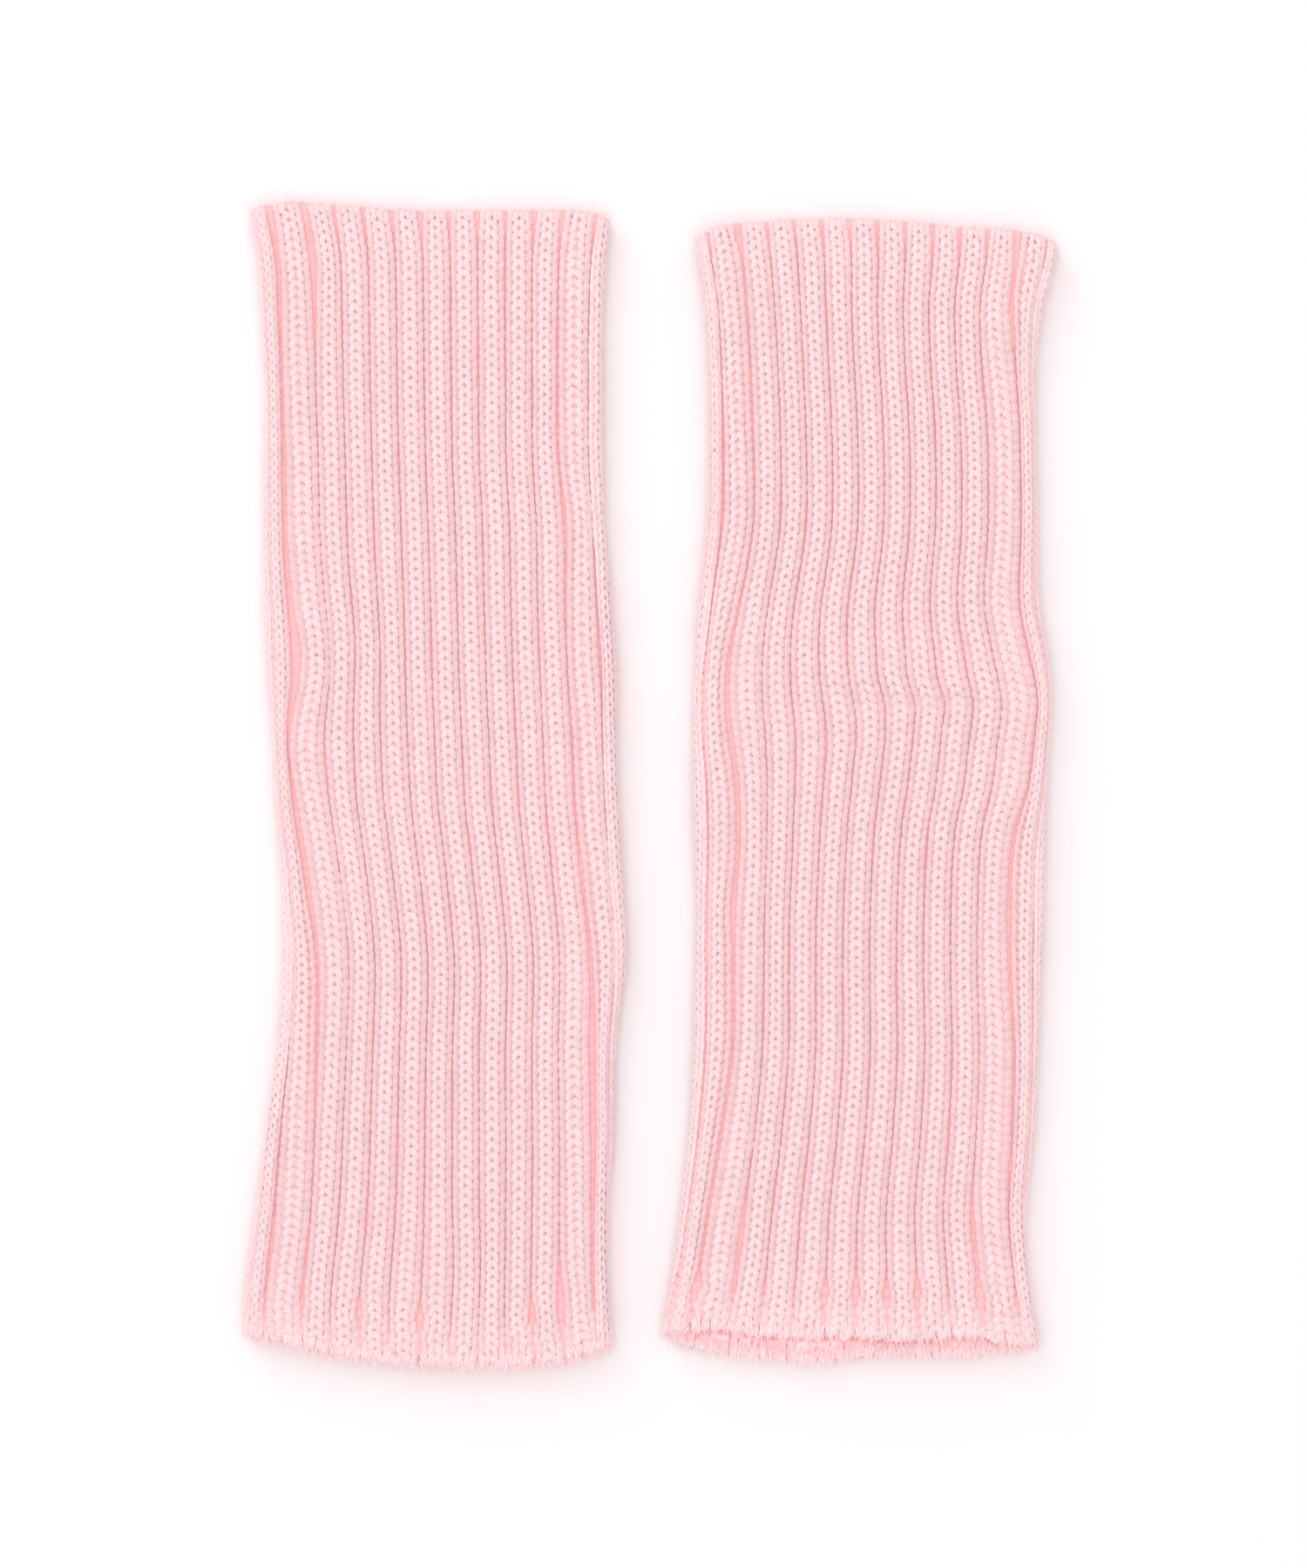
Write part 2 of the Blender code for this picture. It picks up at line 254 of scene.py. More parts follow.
# The cloth: rib and course number -> a point on its outer skin moved out by height, the normal, and
# how far in from the nearer fold it lies.
# point = middle line + (thickness / 2 + height) * normal + nudge across + lift upwards, in millimetres.
# Where a rib lies depends on the place along the leg, and that on the hems, so it is worked out twice.
def clothPoint(leg, rib, course, height, inside=False):
    rib, course, height = np.broadcast_arrays(*(np.asarray(v, float) for v in (rib, course, height)))
    share = course / knit["courses"]
    middleLow, middleHigh = leg["bottomHem"][2][1], leg["topHem"][2][1]
    along = middleLow + share * (middleHigh - middleLow)
    for _ in range(2):
        left, right, ribAtLeft, ribAtRight, thick = (ringAt(leg, along, name) for name in ringColumns[1:])
        radius = thick / 2
        middle, normalX, normalZ = ringTurn(rib, ribAtLeft, ribAtRight, right - left, radius)
        across = np.clip((middle + radius * (1 + normalX)) / (right - left), 0, 1)
        upper = ease(-0.5, 0.5, normalZ)
        front, back, high = (hemAt(leg, hem, across) for hem in ("bottomHem", "backHem", "topHem"))
        low = back + (front - back) * upper
        along = low + share * (high - low)
    fromFold = np.minimum(across, 1 - across) * (right - left)
    puff = foldPuff["height"] * np.exp(-((fromFold - foldPuff["width"]) / foldPuff["width"]) ** 2)
    onTop = ease(0.0, 1.0, normalZ)
    lift = (bellSum(leg["hills"], across, along) + puff) * onTop
    nudge = bellSum(leg["nudges"], across, along) * ease(0.0, foldPuff["width"], fromFold) * onTop
    reach = (knit["slot"] / 2 if inside else radius) + height
    point = np.stack((left + radius + middle + reach * normalX + nudge, along,
                      radius + reach * normalZ + lift), axis=-1)
    normal = np.stack((normalX, 0 * normalX, normalZ), axis=-1)
    return point, normal, fromFold


# A fixed random number from 0 to 1 for each number n: the fraction of 43758.5 * sin(12.99 n + 4.1 seed).
def pick(n, seed):
    return np.mod(np.sin(np.asarray(n) * 12.9898 + seed * 4.1) * 43758.5453, 1.0)


# Slow random waves along each column, between -1 and 1: the mean of sines with phases picked for it.
def slowNoise(column, course, seed, waves=(9.0, 23.0, 51.0)):
    total = 0.0
    for k, length in enumerate(waves):
        phase = pick(np.asarray(column) + 1.7 * k, seed)
        total = total + np.sin(2 * math.pi * (course / length + phase))
    return total / len(waves)


# How far the grooves open, 0 shut to 1 open. Places and spreads are in courses.
grooveLook = {
    "nearFold": 0.85,         # beside a fold
    "anywhere": 0.24,         # elsewhere, at the height of their slow waves
    "slotAt": 3.7,            # a slot above the bottom hem: its middle, how much that varies, its spread
    "slotVaries": 0.8,
    "slotSpread": 1.3,
    "hemGape": 0.55,          # at the bottom hem itself, below a slot
    "hemAt": 0.7,
    "funnel": 0.7,            # at the top hem
    "funnelSpread": 3.2,
}


# How wide a groove is open: the sum of a bell over the distance from a fold, slow waves cubed, a slot
# above the bottom hem in some grooves, a funnel at the top hem, and the leg's own table.
def openness(leg, groove, course, fromFold):
    look, seed = grooveLook, leg["seed"]
    place, width = leg["wideAt"]
    nearFold = np.exp(-((fromFold - place) / width) ** 2)
    drift = 0.5 + 0.5 * slowNoise(groove, course, seed)
    chosen = ease(1 - leg["slots"], 1.3 - leg["slots"], pick(groove, seed + 5))
    fromSlot = course - look["slotAt"] - look["slotVaries"] * pick(groove, seed)
    slot = chosen * (np.exp(-(fromSlot / look["slotSpread"]) ** 2)
                     + look["hemGape"] * np.exp(-((course - look["hemAt"]) / look["hemAt"]) ** 2))
    spots = 0.0
    for row in leg["openGrooves"]:
        spot = dict(zip(openColumns, row))
        spots = spots + (spot["amount"] * (np.asarray(groove) == spot["groove"])
                         * np.exp(-((course - spot["course"]) / spot["spread"]) ** 2))
    fromTop = knit["courses"] - course
    funnel = look["funnel"] * np.exp(-(fromTop / look["funnelSpread"]) ** 2)
    funnel = funnel * (0.6 + 0.4 * pick(groove, seed + 9))
    total = (look["nearFold"] * nearFold * (0.6 + 0.4 * drift) * ease(1.5, 4.0, course)
             + look["anywhere"] * drift ** 3 * ease(2.0, 12.0, course) + slot + funnel + spots)
    return np.clip(total, 0, 1)


# Depth of the cloth below its crests at share p of a rib: grooveDepth * (1 - sin(pi p)^0.45), less
# towards the hems and where the cloth turns round a fold.
def ribDip(p, course, normalX):
    full = 1 - 0.6 * (1 - ease(0.5, 5.0, course)) - 0.3 * ease(-4.0, 0.0, course - knit["courses"])
    dip = knit["grooveDepth"] * (1 - np.abs(np.sin(math.pi * p)) ** 0.45)
    return dip * full * (1 - 0.9 * np.abs(normalX))


# Puts vertices and faces into a mesh in one go, with its attributes and its UV map.
def buildMesh(name, points, quads, tris, attributes=None, uv=None, material=None, smooth=True):
    loops = np.concatenate((quads.reshape(-1), tris.reshape(-1))).astype(np.int32)
    sizes = np.concatenate((np.full(len(quads), 4), np.full(len(tris), 3)))
    starts = np.concatenate(([0], np.cumsum(sizes)[:-1])).astype(np.int32)
    mesh = bpy.data.meshes.new(name)
    mesh.vertices.add(len(points))
    mesh.vertices.foreach_set("co", (points * mm).astype(np.float32).ravel())
    mesh.loops.add(len(loops))
    mesh.loops.foreach_set("vertex_index", loops)
    mesh.polygons.add(len(starts))
    mesh.polygons.foreach_set("loop_start", starts)
    mesh.update(calc_edges=True)
    mesh.validate()
    for key, values in (attributes or {}).items():
        mesh.attributes.new(key, "FLOAT", "POINT").data.foreach_set("value", values.astype(np.float32))
    if uv is not None:
        layer = mesh.uv_layers.new(name="UVMap")
        layer.data.foreach_set("uv", uv[loops].astype(np.float32).ravel())
    if smooth:
        mesh.shade_smooth()
    else:
        mesh.shade_flat()
    if material:
        mesh.materials.append(material)
    piece = bpy.data.objects.new(name, mesh)
    bpy.context.scene.collection.objects.link(piece)
    return piece


# Strands of yarn: a round profile carried along each path, closed to a point at both ends. It also
# gives how far along its strand each vertex of one lies, and a UV map round and along the strands.
# point = path + radius * (cos(a) * side + flatness * sin(a) * up), side = up x tangent.
def strands(paths, radii, normals, sides=5, flatness=0.85):
    count, stations = paths.shape[:2]
    tangent = np.gradient(paths, axis=1)
    tangent /= np.linalg.norm(tangent, axis=-1, keepdims=True)
    side = np.cross(normals, tangent)
    side /= np.linalg.norm(side, axis=-1, keepdims=True)
    up = np.cross(tangent, side)
    angle = np.arange(sides) * 2 * math.pi / sides + math.pi / 2
    body = slice(1, stations - 1)
    ring = (paths[:, body, None]
            + radii[:, body, None, None] * (np.cos(angle)[:, None] * side[:, body, None]
                                            + flatness * np.sin(angle)[:, None] * up[:, body, None]))
    rings = stations - 2
    points = np.concatenate((paths[:, :1], ring.reshape(count, rings * sides, 3), paths[:, -1:]), axis=1)
    each = points.shape[1]
    base = (np.arange(count) * each)[:, None, None]
    i, j = np.meshgrid(np.arange(rings - 1), np.arange(sides), indexing="ij")
    a = 1 + i * sides + j
    b = 1 + i * sides + (j + 1) % sides
    quads = (np.stack((a, b, b + sides, a + sides), axis=-1).reshape(1, -1, 4) + base).reshape(-1, 4)
    k = np.arange(sides)
    first = np.stack((0 * k, 1 + (k + 1) % sides, 1 + k), axis=-1)
    last = 1 + (rings - 1) * sides
    final = np.stack((0 * k + each - 1, last + k, last + (k + 1) % sides), axis=-1)
    tris = (np.concatenate((first, final))[None] + base).reshape(-1, 3)
    along = np.concatenate(([0.0], np.repeat(np.linspace(0.1, 0.9, rings), sides), [1.0]))
    around = np.concatenate(([0.5], np.tile(k / sides, rings), [0.5]))
    uv = np.stack((np.tile(around, count), np.tile(along, count)), axis=-1)
    return points.reshape(-1, 3), quads, tris, along, uv


# Each value of a strand's stations, given to the vertices round that station.
def perStation(values, sides=5):
    body = np.repeat(values[:, 1:-1], sides, axis=1)
    return np.concatenate((values[:, :1], body, values[:, -1:]), axis=1).ravel()


# How far to the side of a strand's path each vertex lies: -radius * cos(angle), in millimetres.
def sideways(radii, sides=5):
    count, stations = radii.shape
    angle = np.tile(np.arange(sides) * 2 * math.pi / sides + math.pi / 2, stations - 2)
    offset = -np.cos(angle)[None, :] * np.repeat(radii[:, 1:-1], sides, axis=1)
    return np.concatenate((np.zeros((count, 1)), offset, np.zeros((count, 1))), axis=1).ravel()


# One value for each strand, given to all its vertices.
def perStrand(values, along):
    return np.repeat(values, len(along))


# Every combination of the values of several lists, as one flat array for each list.
def everyPair(*ranges):
    return [v.ravel() for v in np.meshgrid(*ranges, indexing="ij")]


# One normal random number for each strand, as a column.
def unevenly(rng, count, spread=1.0):
    return rng.normal(0, spread, (count, 1))


stitchLook = {
    "across": (0.16, 0.22, 0.44, 0.61, 0.61, 0.50),      # from the middle of the wale, in half wales
    "up": (-0.46, -0.16, 0.30, 0.74, 1.10, 1.26),        # in courses
    "height": (-0.95, -0.18, 0.10, 0.04, -0.30, -1.05),  # above the cloth, in yarn radii
    "girth": (0.0, 0.90, 1.06, 1.04, 0.88, 0.0),
    "loose": 0.05,            # how uneven the stitches are
    "looser": 1.5,            # how much more so at the bottom hem
    "flatness": 0.78,         # height of a strand to its width
    "middle": 0.52,           # mean of across, round which a leg sways
    "outerSway": 0.5,         # how much of the sway an outer leg has
    "waleShift": 0.35,        # how far the ribs' courses drift, in courses
    "insideLift": 1.5,        # how far those on the inner skin stand above it
    "margin": 0.015,          # bare share of a rib at each side, groove shut
    "gape": 0.13,             # how much more of it an open groove takes
    "insideGape": 0.04,       # and on the inner skin
    "turnSpread": 0.05,       # how much further they reach round a fold
    "fullWidth": 8.2,         # width of a rib whose strands are full
    "girths": (0.6, 1.3),     # least and most girth on other ribs
    "outerShade": 0.40,       # painted shade of the legs beside a groove
    "innerShade": 0.12,       # and of those in the middle of a rib
    "tipShade": 0.12,         # painted shade where a leg dives
    "bottomPale": 0.3,        # how much paler at the bottom hem
    "topPale": 0.25,          # at the top hem
    "foldHighlight": 0.55,         # and, as painted light, where the cloth turns round a fold
    "insideKeep": 0.3,        # share of all that on the inner skin
    "insideShade": 0.9,       # painted shadow: how much deeper it is there under the front hem
    "fade": (-3.1, -1.6),     # how far from the hem that starts and is full
    "shades": (-0.6, 1.0),    # palest and deepest
}


# Both legs of every knit stitch that faces up or out. A rib is two wales wide, and each leg is a
# strand that comes out at the foot of the V, lies over the cloth and dives under the next stitch.
# With inside set, they lie on the inner skin of the lower layer instead, facing up.
# point = cloth at (rib + start + (end - start) * within, course + up), out by its height - the dip.
def stitchStrands(leg, firstCourse, lastCourse, seed, inside=False):
    look = stitchLook
    rng = np.random.default_rng(seed)
    ribs = np.arange(*knit["ribsBelow" if inside else "ribsAbove"])
    courses = np.arange(firstCourse, lastCourse)
    rib, wale, course, side = everyPair(ribs, np.array([0, 1]), courses, np.array([-1, 1]))
    _, normal, _ = clothPoint(leg, rib + 0.5, course + 0.5, 0.0)
    keep = normal[:, 2] < -0.3 if inside else normal[:, 2] > knit["lowerEnd"]
    rib, wale, course, side = rib[keep], wale[keep], course[keep], side[keep]
    turned = ease(0.3, 0.8, np.abs(normal[keep, 0]))
    count = len(rib)

    leftEdge, _, fromFold = clothPoint(leg, rib, course + 0.5, 0.0)
    gape = look["insideGape"] if inside else look["gape"]
    wider = look["turnSpread"] * turned
    start = look["margin"] - wider + gape * openness(leg, rib, course, fromFold)
    rightEdge, _, fromFold = clothPoint(leg, rib + 1, course + 0.5, 0.0)
    end = 1 - look["margin"] + wider - gape * openness(leg, rib + 1, course, fromFold)
    width = np.linalg.norm(rightEdge - leftEdge, axis=-1) * (end - start)

    loose = look["loose"] * (1 + look["looser"] * (1 - ease(0.0, 5.0, course)))[:, None]
    across, up, lift, girth = (np.array(look[key]) for key in ("across", "up", "height", "girth"))
    outerLeg = side == np.where(wale == 0, -1, 1)
    sway = np.where(outerLeg, look["outerSway"], 1.0)[:, None]
    aside = side[:, None] * (look["middle"] + sway * (across - look["middle"]))
    aside = aside * (1 + loose * unevenly(rng, count))
    within = 0.25 + 0.5 * wale[:, None] + 0.25 * aside
    place = start[:, None] + (end - start)[:, None] * within
    waleShift = look["waleShift"] * slowNoise(rib, course, leg["seed"] + 3, waves=(31.0, 67.0))
    rise = (course + waleShift)[:, None] + up + loose * unevenly(rng, count)
    radius = knit["yarnRadius"] * np.clip(width / look["fullWidth"], *look["girths"])[:, None]
    radius = radius * (1 + loose * unevenly(rng, count))
    rise = np.clip(rise, 0.1, knit["courses"] - 0.1)
    dip = ribDip(place, rise, clothPoint(leg, rib[:, None] + place, rise, 0.0)[1][..., 0])
    height = radius * (lift - 0.95) - dip + unevenly(rng, count, 0.05)
    height = -height - look["insideLift"] if inside else height
    paths, normals, _ = clothPoint(leg, rib[:, None] + place, rise, height, inside=inside)
    normals = -normals if inside else normals
    points, quads, tris, along, uv = strands(paths, radius * girth, normals, flatness=look["flatness"])

    # The shade picks each strand's colour: painted shade beside a groove, where a leg dives and under the
    # front hem on the inner skin; paler towards the hems, and painted light where the cloth turns round a
    # fold.
    shade = np.where(outerLeg, look["outerShade"], look["innerShade"])
    shade = shade - look["bottomPale"] * np.exp(-course / 3)
    shade = shade - look["topPale"] * np.exp((course - knit["courses"]) / 4)
    shade = shade - look["foldHighlight"] * turned
    shade = perStrand(look["insideKeep"] * shade if inside else shade, along)
    if inside:
        left, right = (ringAt(leg, paths[..., 1], name) for name in ("left", "right"))
        hem = hemAt(leg, "bottomHem", (paths[..., 0] - left) / (right - left))
        shade = shade + look["insideShade"] * perStation(ease(*look["fade"], paths[..., 1] - hem))
    diveShade = look["tipShade"] * np.abs(2 * along - 0.95) ** 2
    ribAt = perStation(within) + sideways(radius * girth) / perStrand(width, along)
    # Round a fold the painted shade beside a groove is held off.
    clear = perStrand(0.07 * turned, along)
    attributes = {
        "shade": np.clip(shade + np.tile(diveShade, count), *look["shades"]),
        "tone": perStrand(rng.random(count), along),
        "ribAt": np.clip(ribAt, clear, 1 - clear),
        "courseAt": perStation(course[:, None] + up),
    }
    uv[:, 1] += perStrand(rng.random(count), along)
    return points, quads, tris, attributes, uv


ladderLook = {
    "reach": 0.13,            # half the length of a rung, in ribs, in a shut groove
    "openReach": 0.09,        # how much longer it is in an open one
    "radius": 2.0,
    "girth": (0.0, 1.0, 1.05, 1.0, 0.0),
    "flatness": 0.29,
    "bow": 0.1,               # how much the rung curves, in courses
    "sunk": 0.65,             # how far below the groove's bottom its middle lies in a shut groove
    "droop": 0.4,             # how much lower its ends lie
    "openLift": 0.3,          # how much higher it lies in an open groove
    "loose": 0.06,
    "shade": 0.55,
}


# The rungs in each groove: the purl stitches between two ribs, one for each course.
# height = -(depth of the groove) - sunk - droop * t^2 + openLift * openness, with t from -1 to 1.
def ladderStrands(leg, seed):
    look = ladderLook
    rng = np.random.default_rng(seed + 50)
    firstRib, lastRib = knit["ribsAbove"]
    groove, course = everyPair(np.arange(firstRib, lastRib + 1), np.arange(1, knit["courses"]))
    _, normal, fromFold = clothPoint(leg, groove, course + 0.5, 0.0)
    keep = normal[:, 2] > 0.25
    groove, course, fromFold, normalX = groove[keep], course[keep], fromFold[keep], normal[keep, 0]
    count = len(groove)
    wide = openness(leg, groove, course, fromFold)[:, None]
    t = np.linspace(-1, 1, len(look["girth"]))
    place = groove[:, None] + t * (look["reach"] + look["openReach"] * wide)
    rise = course[:, None] + 0.5 + look["bow"] * (t * t - 0.5) + unevenly(rng, count, look["loose"])
    radius = look["radius"] * (1 + unevenly(rng, count, look["loose"]))
    bottom = ribDip(0.0, course, normalX)[:, None]
    height = -bottom - look["sunk"] - look["droop"] * t * t + look["openLift"] * wide
    paths, normals, _ = clothPoint(leg, place, rise, height)
    radii = radius * look["girth"]
    points, quads, tris, along, uv = strands(paths, radii, normals, flatness=look["flatness"])
    # The rungs' shade is painted shade down in the groove, paler where the cloth turns round a fold.
    turned = ease(0.6, 0.95, np.abs(normalX))
    shade = perStrand(look["shade"] * (1 - 0.9 * turned), along)
    attributes = {"shade": shade, "tone": perStrand(rng.random(count), along)}
    return points, quads, tris, attributes, uv


# The parts of several sets of strands put together as one mesh.
def joinStrands(sets):
    points, quads, tris, attributes, uv = zip(*sets)
    bases = np.cumsum([0] + [len(p) for p in points[:-1]])
    quads = [q + base for q, base in zip(quads, bases)]
    tris = [t + base for t, base in zip(tris, bases)]
    values = {}
    for key in ("shade", "tone", "ribAt", "courseAt"):
        values[key] = np.concatenate([a.get(key, np.zeros(len(p))) for a, p in zip(attributes, points)])
    return np.concatenate(points), np.concatenate(quads), np.concatenate(tris), values, np.concatenate(uv)


hemLook = {
    "layers": (-0.95, -2.0),  # depths at which a row of loops closes the end of the wall
    "loop": 0.56,             # half the width of a loop, in half wales
    "margin": 0.02,           # bare share of a rib at each side, groove shut
    "gape": 0.11,             # how much more of it an open groove takes
    "reach": 1.0,             # how far a loop runs back from the hem, in courses
    "beyond": 0.06,           # how far its crown stands out past the hem, in courses
    "radius": 0.95,
    "places": (-1.0, -0.8, -0.4, 0.0, 0.4, 0.8, 1.0),
    "girth": (0.0, 0.9, 1.0, 1.0, 1.0, 0.9, 0.0),
    "droop": 0.35,            # how much lower its crown lies
    "shade": (0.14, 0.44),    # painted shade of each layer, darker deeper in the wall
    "topLoose": 0.05,
    "bottomLoose": 0.12,
}


# The loops that close a hem, one for each wale all round the tube, in two layers through the wall.
# course = hem + beyond - reach * |t|^2.4, with t from -1 to 1 across the loop.
def hemLoops(leg, atTop, seed):
    look = hemLook
    rng = np.random.default_rng(seed + 70)
    sets = []
    for layer, depth in enumerate(look["layers"]):
        rib, wale = everyPair(np.arange(knit["ribsRound"]), (0.25, 0.75))
        count = len(rib)
        loose = look["topLoose"] if atTop else look["bottomLoose"]
        t = np.array(look["places"])
        course = knit["courses"] - 0.5 if atTop else 0.5
        _, _, fromFold = clothPoint(leg, rib + wale, course, 0.0)
        start = look["margin"] + look["gape"] * openness(leg, rib, course, fromFold)
        end = 1 - look["margin"] - look["gape"] * openness(leg, rib + 1, course, fromFold)
        middle = rib + start + (end - start) * wale + 0.25 * layer + loose * 0.25 * rng.normal(0, 1, count)
        half = 0.25 * look["loop"] * (end - start)
        place = middle[:, None] + half[:, None] * t * (1.12 - 0.12 * np.abs(t))
        beyond = look["beyond"] * (1 - 0.8 * layer) + loose * unevenly(rng, count)
        back = look["reach"] * np.abs(t) ** 2.4 - beyond
        rise = knit["courses"] - back if atTop else back
        height = depth - look["droop"] * (1 - np.abs(t)) + loose * unevenly(rng, count, 0.6)
        radius = look["radius"] * (1 + loose * unevenly(rng, count, 0.7))
        paths, normals, _ = clothPoint(leg, place, rise, height)
        points, quads, tris, along, uv = strands(paths, radius * look["girth"], normals)
        attributes = {
            "shade": np.full(len(points), look["shade"][layer]),
            "tone": perStrand(rng.random(count), along),
            "ribAt": np.full(len(points), 0.4),
        }
        sets.append((points, quads, tris, attributes, uv))
    return joinStrands(sets)


tuftLook = {
    "perRib": 8,
    "hairs": 9,                   # in each tuft
    "foot": 1.1,                  # where a hair leaves the cloth, in courses from the hem
    "depths": (-0.9, -1.0),       # how deep a foot and the hem lie in the cloth
    "depthsBelow": (-2.2, -2.0),  # and on the lower layer
    "length": 1.3,                # from the hem to the tip, in millimetres
    "uneven": 0.3,                # how much the lengths vary
    "sway": 0.6,
    "feetSpread": (0.54, 1.4, 0.3),
    "tipSpread": (0.5, 0.8, 0.3),
    "bendSpread": (1.0, 0.5, 0.4),
    "rise": 0.6,                  # how far a hair bends up
    "lowest": 0.35,               # it stays above the ground
    "radius": 0.16,
    "girths": (0.6, 1.3),
    "girth": (0.0, 1.1, 1.0, 0.7, 0.0),
}


# Frayed tufts along the bottom hem. Each hair goes from a foot near the tuft's middle to near its tip:
# point = foot + (tip - foot) * t + bend * t * (1 - t).
def tufts(leg, ribs, seed, inside=False):
    look = tuftLook
    rng = np.random.default_rng(seed + 90)
    count = len(ribs) * look["perRib"]
    share = (np.tile(np.arange(look["perRib"]), len(ribs)) + 0.5) / look["perRib"]
    place = np.repeat(ribs, look["perRib"]) + share + rng.normal(0, 0.03, count)
    footDepth, hemDepth = look["depthsBelow"] if inside else look["depths"]
    foot, _, _ = clothPoint(leg, place, look["foot"] + 0 * place, footDepth, inside=inside)
    hem, _, _ = clothPoint(leg, place, 0.0 * place, hemDepth, inside=inside)
    length = look["length"] * (1 + rng.normal(0, look["uneven"], count))
    tip = hem + np.stack((rng.normal(0, look["sway"], count), -length, rng.normal(-0.3, 0.4, count)), -1)
    total = count * look["hairs"]
    footOf = np.repeat(foot, look["hairs"], axis=0) + rng.normal(0, 1, (total, 3)) * look["feetSpread"]
    tipOf = np.repeat(tip, look["hairs"], axis=0) + rng.normal(0, 1, (total, 3)) * look["tipSpread"]
    t = np.linspace(0, 1, len(look["girth"]))[None, :, None]
    bend = rng.normal(0, 1, (total, 1, 3)) * look["bendSpread"] + (0, 0, look["rise"])
    paths = footOf[:, None] + (tipOf - footOf)[:, None] * t + bend * t * (1 - t)
    paths[..., 2] = np.maximum(paths[..., 2], look["lowest"])
    radius = look["radius"] * rng.uniform(*look["girths"], (total, 1)) * look["girth"]
    normals = np.broadcast_to(np.array([0.0, 0.0, 1.0]), paths.shape)
    points, quads, tris, along, uv = strands(paths, radius, normals, flatness=1.0)
    attributes = {"shade": np.tile(0.5 * (1 - along), total), "tone": perStrand(rng.random(total), along)}
    return points, quads, tris, attributes, uv


fuzzLook = {
    "onFace": 700,
    "onFolds": 1500,
    "onHems": 450,
    "length": 3.4,
    "lengths": (0.5, 1.3),    # least and most, as a share of the length
    "atFold": 0.6,            # and how long those on the folds are
    "sunk": 0.6,              # how deep in the yarn a fibre starts
    "curl": 0.8,
    "lift": 0.55,             # how far its end stands off the cloth, as a share of its length
    "lowest": 0.2,
    "radius": 0.045,
    "girth": (0.0, 1.0, 1.0, 0.8, 0.0),
}


# Fine fibres that stand off the yarn, more of them along the folds and hems.
# point = root + length * t * (along the cloth + lift * (1.2 - t) * normal) + curl * t^2.
def fuzz(leg, seed):
    look = fuzzLook
    rng = np.random.default_rng(seed + 130)
    firstRib, lastRib = (ringAt(leg, np.zeros(1), name)[0] for name in ("ribAtLeft", "ribAtRight"))
    face, folds, hems = look["onFace"], look["onFolds"], look["onHems"]
    rib = np.concatenate((rng.uniform(firstRib, lastRib, face),
                          np.where(rng.random(folds) < 0.5, firstRib, lastRib) + rng.normal(0, 0.5, folds),
                          rng.uniform(firstRib - 0.3, lastRib + 0.3, hems)))
    course = np.concatenate((rng.uniform(1, knit["courses"] - 1, face + folds),
                             np.where(rng.random(hems) < 0.5, 0.2, knit["courses"] - 0.2)))
    count = len(rib)
    depth = look["sunk"] + ribDip(np.mod(rib, 1.0), course, 0.0)
    root, normal, _ = clothPoint(leg, rib, course, -depth)
    turn = rng.uniform(0, 2 * math.pi, count)
    flat = np.stack((np.cos(turn) * normal[:, 2], np.sin(turn), -np.cos(turn) * normal[:, 0]), axis=-1)
    atHem = np.arange(count) >= face + folds
    outward = np.where(course < knit["courses"] / 2, -1.0, 1.0)
    flat[atHem, 1] = outward[atHem] * (0.6 + np.abs(flat[atHem, 1]))
    atFold = (np.arange(count) >= face) & ~atHem
    length = look["length"] * rng.uniform(*look["lengths"], count) * np.where(atFold, look["atFold"], 1.0)
    t = np.linspace(0, 1, len(look["girth"]))[None, :, None]
    curl = rng.normal(0, look["curl"], (count, 1, 3))
    lift = look["lift"] * rng.uniform(0.2, 1.3, (count, 1, 1))
    paths = root[:, None] + length[:, None, None] * t * (flat[:, None] + lift * (1.2 - t) * normal[:, None])
    paths = paths + curl * t * t
    paths[..., 2] = np.maximum(paths[..., 2], look["lowest"])
    thick = look["radius"] * rng.uniform(0.7, 1.2, (count, 1)) * np.where(atFold, 1.3, 1.0)[:, None]
    normals = np.broadcast_to(np.array([0.02, 0.01, 1.0]), paths.shape)
    radii = thick * look["girth"]
    points, quads, tris, along, uv = strands(paths, radii, normals, sides=4, flatness=1.0)
    attributes = {"shade": np.zeros(len(points)), "tone": perStrand(rng.random(count), along)}
    return points, quads, tris, attributes, uv


shellLook = {
    "columnsPerRib": 4,
    "rows": 72,
    "sunk": 0.9,              # how far its outer skin lies below the cloth's crests, under the strands
    "bareDip": 0.35,          # share of a groove's depth that is left where there are no strands
    "hemThin": 0.45,          # how far its two ends draw in
    "endCourse": 0.05,        # how far inside the hems it ends, in courses
}


